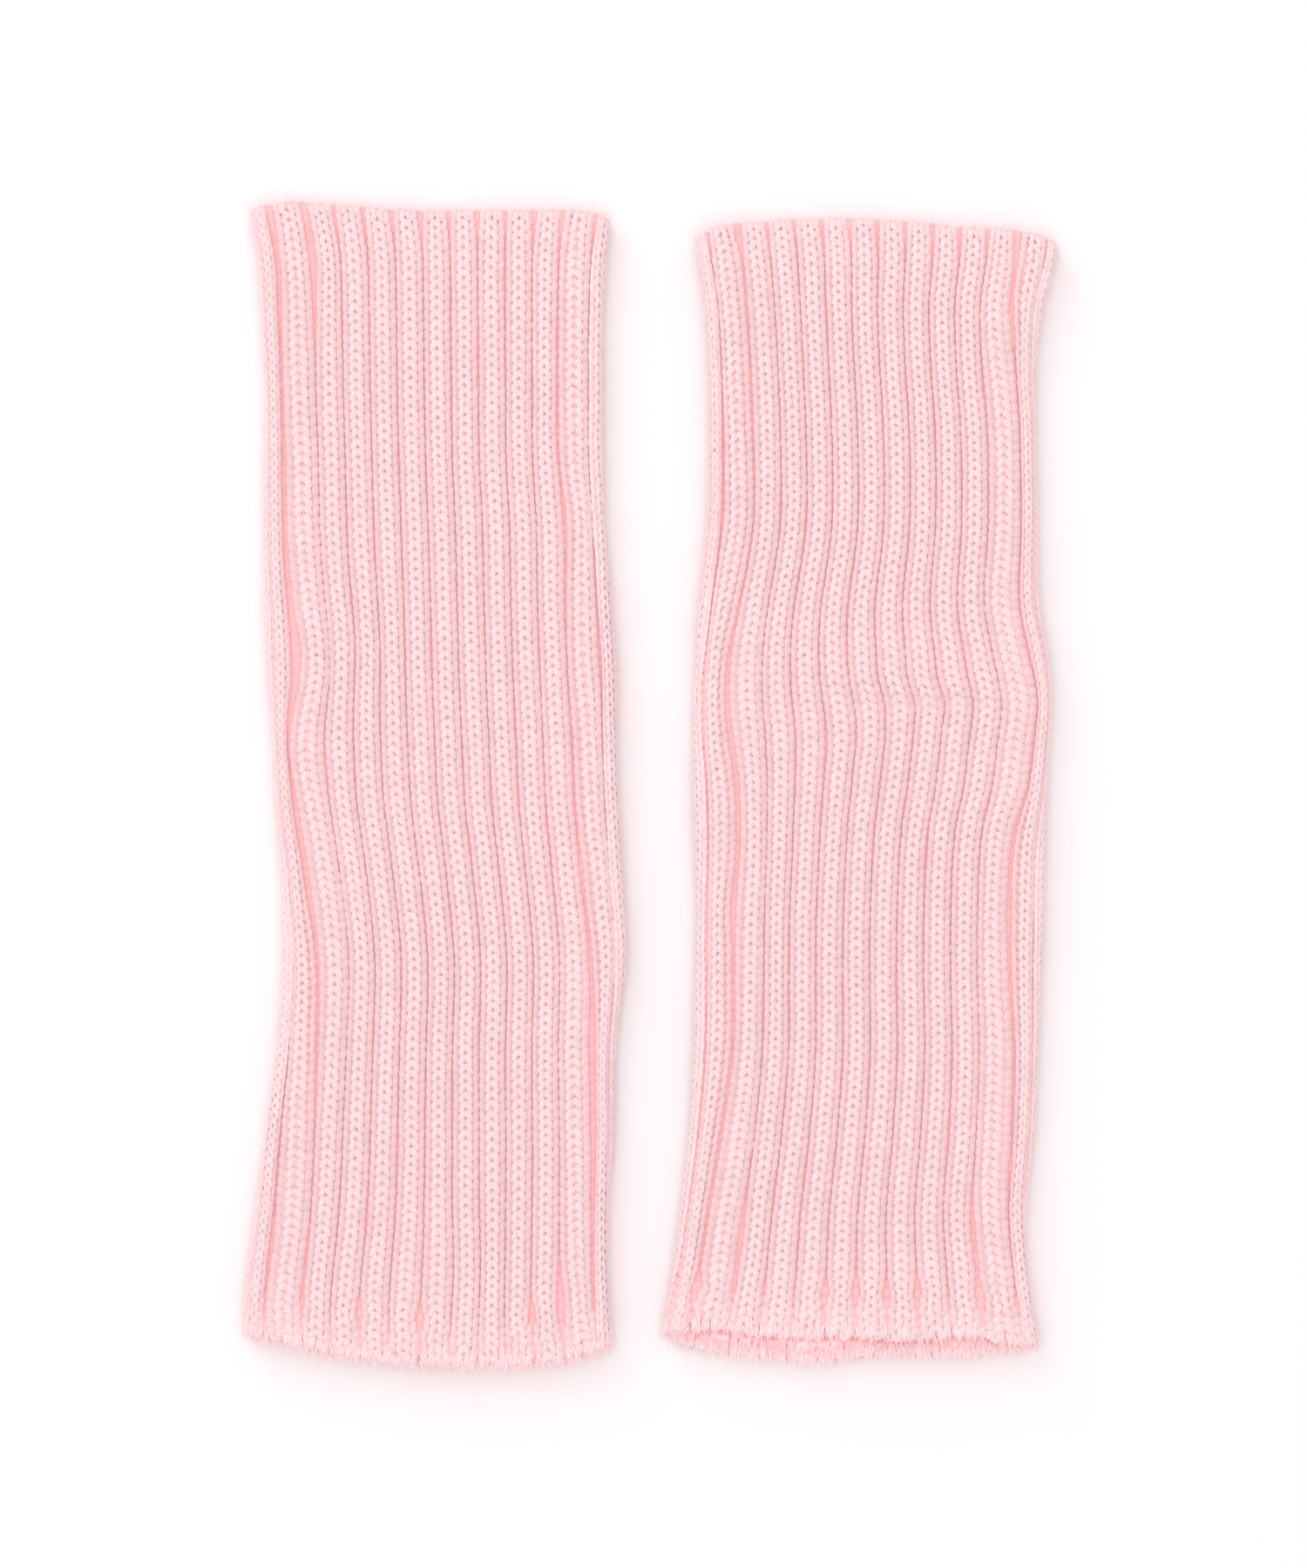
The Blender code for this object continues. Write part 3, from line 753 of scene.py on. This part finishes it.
# The cloth behind the stitches: a closed wall from hem to hem. Its outer skin lies below the strands
# on the upper layer, and rests on the ground with shallow grooves beneath.
# height = -(sunk + groove depth) where covered by strands, -(bareDip * groove depth) elsewhere.
def groundShell(leg, name, material):
    look = shellLook
    columns = knit["ribsRound"] * look["columnsPerRib"]
    rib = np.arange(columns)[None, :] / look["columnsPerRib"]
    course = np.linspace(look["endCourse"], knit["courses"] - look["endCourse"], look["rows"])[:, None]
    _, normal, _ = clothPoint(leg, rib, course, 0.0)
    covered = ease(-0.85, -0.4, normal[..., 2])
    dip = ribDip(np.mod(rib, 1.0), course, normal[..., 0])
    ends = np.zeros_like(course)
    ends[[0, -1]] = look["hemThin"]
    height = -(look["sunk"] + dip) * covered - look["bareDip"] * dip * (1 - covered) - ends
    outer, _, _ = clothPoint(leg, rib, course, height)
    inner, _, _ = clothPoint(leg, rib, course, 0 * height, inside=True)
    loops = np.concatenate((outer, inner[::-1]))
    rows = len(loops)
    i, j = np.meshgrid(np.arange(rows), np.arange(columns), indexing="ij")
    a = i * columns + j
    b = i * columns + (j + 1) % columns
    c = ((i + 1) % rows) * columns + (j + 1) % columns
    d = ((i + 1) % rows) * columns + j
    quads = np.stack((a, b, c, d), axis=-1).reshape(-1, 4)
    skinUv = np.stack(np.broadcast_arrays(rib, course), axis=-1)
    uv = np.concatenate((skinUv, skinUv[::-1])).reshape(-1, 2)
    bare = 1 - ease(-0.55, -0.3, normal[..., 2])
    bare = np.concatenate((bare, np.zeros_like(bare))).ravel()
    return buildMesh(name, loops.reshape(-1, 3), quads, np.zeros((0, 3), int), {"bare": bare}, uv, material)


# A node with its settings, and with each input linked to a socket or given a value.
def addNode(tree, kind, inputs=None, **settings):
    node = tree.nodes.new(kind)
    for key, value in settings.items():
        setattr(node, key, value)
    for key, value in (inputs or {}).items():
        if isinstance(value, bpy.types.NodeSocket):
            tree.links.new(value, node.inputs[key])
        else:
            node.inputs[key].default_value = value
    return node


# A new material with its node tree and its shader, and the shader's plain settings.
def newMaterial(name, settings):
    material = bpy.data.materials.new(name)
    material.use_nodes = True
    shader = material.node_tree.nodes["Principled BSDF"]
    for key, value in settings.items():
        shader.inputs[key].default_value = value
    return material, material.node_tree, shader


# The value of one of a mesh's attributes.
def attributeOf(tree, name):
    return addNode(tree, "ShaderNodeAttribute", attribute_name=name).outputs["Fac"]


# The result of an operation on two values.
def calculate(tree, operation, first, second=0.0):
    return addNode(tree, "ShaderNodeMath", {0: first, 1: second}, operation=operation).outputs[0]


# A value brought from one range to another and held at its ends, in a straight line or smoothly.
def remap(tree, value, low, high, atLow, atHigh, kind="LINEAR"):
    inputs = {"Value": value, "From Min": low, "From Max": high, "To Min": atLow, "To Max": atHigh}
    return addNode(tree, "ShaderNodeMapRange", inputs, interpolation_type=kind).outputs[0]


# Two colours mixed.
def blend(tree, share, first, second):
    inputs = {"Factor": share, "A": first, "B": second}
    return addNode(tree, "ShaderNodeMix", inputs, data_type="RGBA").outputs["Result"]


yarnLook = {
    "crest": (0.82, 0.62, 0.635, 1),  # brushed tops of the strands, palest in the painted shading
    "body": (0.76, 0.515, 0.53, 1),
    "deep": (0.55, 0.31, 0.335, 1),   # painted shade, where a strand turns down into a groove
    "roughness": 0.95,
    "sheen": 0.25,
    "sheenTint": (1.0, 0.88, 0.90, 1),
    "tones": (0.96, 1.035),           # how much darker and brighter a strand may be
    "bump": 0.0003,                   # depth of the twisted plies, in metres
    "paintedGlow": 0.05,                     # painted glow, for light that has come through the yarn from beside it
    "grooveShade": (-0.01, 0.05, 0.3),       # painted shade beside a groove: where it is deepest and where it ends, depth
    "shadedDots": (                         # painted shade in the holes between strands: rib share, course share, half sizes, depth
        (0.5, 0.24, 0.085, 0.32, 1.2),
        (0.25, 0.76, 0.066, 0.30, 0.95),
        (0.75, 0.76, 0.066, 0.30, 0.95),
    ),
}


# The same yarn down in the grooves and inside, as a shaded copy: a deeper, more saturated pink for painted
# shade and a stronger painted glow for the light that has come through pink cloth.
purlShadeLook = yarnLook | {
    "crest": (0.84, 0.62, 0.635, 1),
    "body": (0.87, 0.455, 0.47, 1),
    "deep": (0.84, 0.385, 0.40, 1),
    "paintedGlow": 0.16,
    "grooveShade": (0.0, 0.1, 0.0),
    "shadedDots": (),
}


# And on the inner skin that shows past the front hem: its pale crest is partly the brushed edge and partly
# painted light where the front hem shades it, its deep colour is the painted shadow under the front hem,
# and its painted glow is stronger.
innerLightShadeLook = purlShadeLook | {
    "crest": (0.94, 0.82, 0.835, 1),
    "body": (0.90, 0.58, 0.595, 1),
    "deep": (0.70, 0.27, 0.29, 1),
    "paintedGlow": 0.26,
}


# Brushed acrylic yarn: the colour goes from crest to deep with each strand's painted shade, with more
# painted shade beside a groove and at the dots between strands, and a painted glow in the deep colour.
# Twisted plies and fine fibres are raised in a bump.
def yarnMaterial(name, look):
    material, tree, shader = newMaterial(name, {
        "Roughness": look["roughness"],
        "Sheen Weight": look["sheen"],
        "Sheen Roughness": 0.5,
        "Sheen Tint": look["sheenTint"],
        "Specular IOR Level": 0.1,
        "Emission Color": look["deep"],
        "Emission Strength": look["paintedGlow"],
    })
    where = addNode(tree, "ShaderNodeTexCoord")
    ribAt = attributeOf(tree, "ribAt")
    courseAt = attributeOf(tree, "courseAt")
    edgeFrom, edgeTo, edgeDepth = look["grooveShade"]
    toGroove = calculate(tree, "PINGPONG", ribAt, 0.5)
    grooveShade = remap(tree, toGroove, edgeFrom, edgeTo, edgeDepth, 0.0, "SMOOTHSTEP")
    shade = calculate(tree, "ADD", attributeOf(tree, "shade"), grooveShade)
    # Each dot is painted shade in a hole between strands.
    for ribShare, courseShare, halfWide, halfHigh, depth in look["shadedDots"]:
        across = calculate(tree, "DIVIDE", calculate(tree, "SUBTRACT", ribAt, ribShare), halfWide)
        phase = calculate(tree, "FRACT", calculate(tree, "SUBTRACT", courseAt, courseShare - 0.5))
        along = calculate(tree, "DIVIDE", calculate(tree, "SUBTRACT", phase, 0.5), halfHigh)
        spot = addNode(tree, "ShaderNodeCombineXYZ", {0: across, 1: along})
        far = addNode(tree, "ShaderNodeVectorMath", {0: spot.outputs[0]}, operation="LENGTH")
        mark = remap(tree, far.outputs["Value"], 0.2, 1.0, depth, 0.0, "SMOOTHSTEP")
        shade = calculate(tree, "ADD", shade, mark)
    shades = addNode(tree, "ShaderNodeValToRGB", {"Fac": shade})
    ramp = shades.color_ramp
    ramp.elements[0].color = look["crest"]
    ramp.elements[1].color = look["deep"]
    ramp.elements[0].position = 0.1
    ramp.elements.new(0.5).color = look["body"]
    cloud = addNode(tree, "ShaderNodeTexNoise", {"Vector": where.outputs["Object"], "Scale": 160.0,
                                                 "Detail": 3.0})
    tone = calculate(tree, "ADD", attributeOf(tree, "tone"), cloud.outputs["Fac"])
    tone = remap(tree, tone, 0.4, 1.6, *look["tones"])
    colour = addNode(tree, "ShaderNodeVectorMath", {0: shades.outputs["Color"], "Scale": tone},
                     operation="SCALE")
    tree.links.new(colour.outputs[0], shader.inputs["Base Color"])
    plies = addNode(tree, "ShaderNodeTexWave", {"Vector": where.outputs["UV"], "Scale": 1.6,
                                                "Distortion": 1.2, "Detail": 2.0},
                    bands_direction="DIAGONAL")
    fibre = addNode(tree, "ShaderNodeTexNoise", {"Vector": where.outputs["Object"], "Scale": 2600.0,
                                                 "Detail": 4.0})
    height = calculate(tree, "ADD", plies.outputs["Fac"], fibre.outputs["Fac"])
    bump = addNode(tree, "ShaderNodeBump", {"Height": height, "Strength": 0.3, "Distance": look["bump"]})
    tree.links.new(bump.outputs[0], shader.inputs["Normal"])
    return material


fibreLook = {"pale": (0.87, 0.71, 0.725, 1), "pink": (0.82, 0.58, 0.595, 1), "paintedGlow": 0.14}


# Loose fibres: each one a tone between pink and pale, quite matt, with a painted glow.
def fibreMaterial(name, look):
    material, tree, shader = newMaterial(name, {
        "Roughness": 1.0,
        "Specular IOR Level": 0.0,
        "Emission Color": look["pink"],
        "Emission Strength": look["paintedGlow"],
    })
    colour = blend(tree, attributeOf(tree, "tone"), look["pink"], look["pale"])
    tree.links.new(colour, shader.inputs["Base Color"])
    return material


groundLook = {
    "colour": (0.87, 0.44, 0.455, 1),      # behind the stitches, painted shade for cloth seen through the gaps: low and high in the pattern
    "pale": (0.88, 0.49, 0.505, 1),
    "bareColour": (0.70, 0.44, 0.455, 1),  # and where there are no stitches over it, with painted shade in the pattern's lows
    "barePale": (0.84, 0.65, 0.665, 1),
    "groove": 0.2,                         # share of a rib over which its grooves deepen, in the bump and in painted shade
    "roughness": 0.95,
    "sheen": 0.2,
    "bump": (0.0008, 0.0016),              # depth of the pattern in metres, covered and bare
    "paintedGlow": 0.14,                          # painted glow where it is covered
}


# The cloth behind the stitches, and the knit itself where no strands cover it: a V for each stitch from the
# UV map, which counts ribs and courses, and darker grooves between the ribs. The V and the grooves are
# raised in a bump and also painted as shade in the colour; behind the stitches the colour is a
# painted-shade pink with a painted glow.
# height = pingpong(course - |wale phase|) + rise of the rib where bare.
def groundMaterial(name, look):
    material, tree, shader = newMaterial(name, {
        "Roughness": look["roughness"],
        "Sheen Weight": look["sheen"],
        "Emission Color": look["colour"],
    })
    parts = addNode(tree, "ShaderNodeSeparateXYZ", {0: addNode(tree, "ShaderNodeTexCoord").outputs["UV"]})
    rib, course = parts.outputs[0], parts.outputs[1]
    bare = attributeOf(tree, "bare")
    withinWale = calculate(tree, "PINGPONG", calculate(tree, "MULTIPLY", rib, 2.0), 1.0)
    wave = calculate(tree, "PINGPONG", calculate(tree, "SUBTRACT", course, withinWale), 0.5)
    high = calculate(tree, "MULTIPLY", wave, 2.0)
    crest = remap(tree, calculate(tree, "PINGPONG", rib, 0.5), 0.0, look["groove"], 0.0, 1.0, "SMOOTHSTEP")
    behind = blend(tree, high, look["colour"], look["pale"])
    uncovered = blend(tree, calculate(tree, "MULTIPLY", high, crest), look["bareColour"], look["barePale"])
    tree.links.new(blend(tree, bare, behind, uncovered), shader.inputs["Base Color"])
    height = calculate(tree, "ADD", wave, calculate(tree, "MULTIPLY", crest, bare))
    depth = remap(tree, bare, 0.0, 1.0, *look["bump"])
    bump = addNode(tree, "ShaderNodeBump", {"Height": height, "Strength": 0.5, "Distance": depth})
    tree.links.new(bump.outputs[0], shader.inputs["Normal"])
    tree.links.new(remap(tree, bare, 0.0, 1.0, look["paintedGlow"], 0.0), shader.inputs["Emission Strength"])
    return material


yarn = yarnMaterial("pinkYarn", yarnLook)
purlShadeYarn = yarnMaterial("pinkPurlShade", purlShadeLook)
innerLightShadeYarn = yarnMaterial("pinkInnerLightShade", innerLightShadeLook)
fibre = fibreMaterial("pinkFibre", fibreLook)
ground = groundMaterial("pinkGround", groundLook)
print("materials made")

# The surface that the pair lies on, in millimetres. It is just below the cloth's own underside.
stageLook = {"floorSize": 3000.0, "floorHeight": -0.3, "floorColour": (0.868, 0.813, 0.822, 1)}
floorEdge, floorHeight = stageLook["floorSize"] / 2, stageLook["floorHeight"]
floorCorners = np.array([(-1, -1, 0), (1, -1, 0), (1, 1, 0), (-1, 1, 0)]) * floorEdge + (0, 0, floorHeight)
floorMaterial, _, _ = newMaterial("paleFloor", {
    "Base Color": stageLook["floorColour"],
    "Roughness": 1.0,
    "Specular IOR Level": 0.0,
})
oneQuad, noTriangles = np.array([[0, 1, 2, 3]]), np.zeros((0, 3), int)
floor = buildMesh("floor", floorCorners, oneQuad, noTriangles, material=floorMaterial)

insideCourses = 6             # rows of stitches on the inner skin, which shows below the front hem
tuftedAbove = np.arange(-1, 13)
tuftedBelow = np.arange(*knit["ribsBelow"])
materialOf = {"tufts": fibre, "fuzz": fibre, "purl": purlShadeYarn, "inside": innerLightShadeYarn}

for leg, tag in ((leftLeg, "left"), (rightLeg, "right")):
    seed = leg["seed"]
    shell = groundShell(leg, "cloth_" + tag, ground)
    halfway = knit["courses"] // 2
    parts = {
        "stitches_lower": stitchStrands(leg, 0, halfway, seed),
        "stitches_upper": stitchStrands(leg, halfway, knit["courses"], seed + 10),
        "purl": ladderStrands(leg, seed),
        "hem_top": hemLoops(leg, True, seed),
        "hem_bottom": hemLoops(leg, False, seed),
        "inside": stitchStrands(leg, 0, insideCourses, seed + 20, inside=True),
        "tufts": joinStrands((tufts(leg, tuftedAbove, seed),
                              tufts(leg, tuftedBelow, seed + 20, inside=True))),
        "fuzz": fuzz(leg, seed),
    }
    pieces = []
    for name, (points, quads, tris, attributes, uv) in parts.items():
        material = materialOf.get(name, yarn)
        piece = buildMesh(name + "_" + tag, points, quads, tris, attributes, uv, material, smooth=False)
        pieces.append(piece)
        print(name, tag, "triangles:", 2 * len(quads) + len(tris))
    for piece in [shell] + pieces:
        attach(piece, "root")
    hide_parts(leg["node"])

worldLight = 0.9
world = bpy.data.worlds.new("softbox")
bpy.context.scene.world = world
world.use_nodes = True
background = world.node_tree.nodes["Background"]
background.inputs["Color"].default_value = (1, 1, 1, 1)
background.inputs["Strength"].default_value = worldLight

# Square lamps turned towards the middle of the pair: place and size in metres, power in watts.
lamps = (
    ("keyLight", (-1.2, 1.5, 1.0), 1.4, 13.0),
    ("topLight", (0.0, 0.0, 2.0), 1.6, 12.0),
)
for lampName, (x, y, z), size, power in lamps:
    lamp = bpy.data.lights.new(lampName, "AREA")
    lamp.energy = power
    lamp.size = size
    lampObject = bpy.data.objects.new(lampName, lamp)
    lampObject.location = (x, y, z)
    lampObject.rotation_euler = (math.atan2(math.hypot(x, y), z), 0, math.atan2(y, x) + math.pi / 2)
    bpy.context.scene.collection.objects.link(lampObject)

# The camera looks straight down, from where the frame's height just fits its sensor, in millimetres.
cameraLook = {"lens": 85.0, "sensor": 36.0, "frameHeight": 486.0, "aim": (0.8, -0.3, 4.0)}
camera = bpy.data.objects.new("camera", bpy.data.cameras.new("camera"))
camera.data.lens = cameraLook["lens"]
camera.data.sensor_width = cameraLook["sensor"]
distance = cameraLook["frameHeight"] * cameraLook["lens"] / cameraLook["sensor"]
aimX, aimY, aimZ = cameraLook["aim"]
camera.location = (aimX * mm, aimY * mm, (aimZ + distance) * mm)
bpy.context.scene.collection.objects.link(camera)
bpy.context.scene.camera = camera
bpy.context.scene.view_settings.view_transform = "Standard"
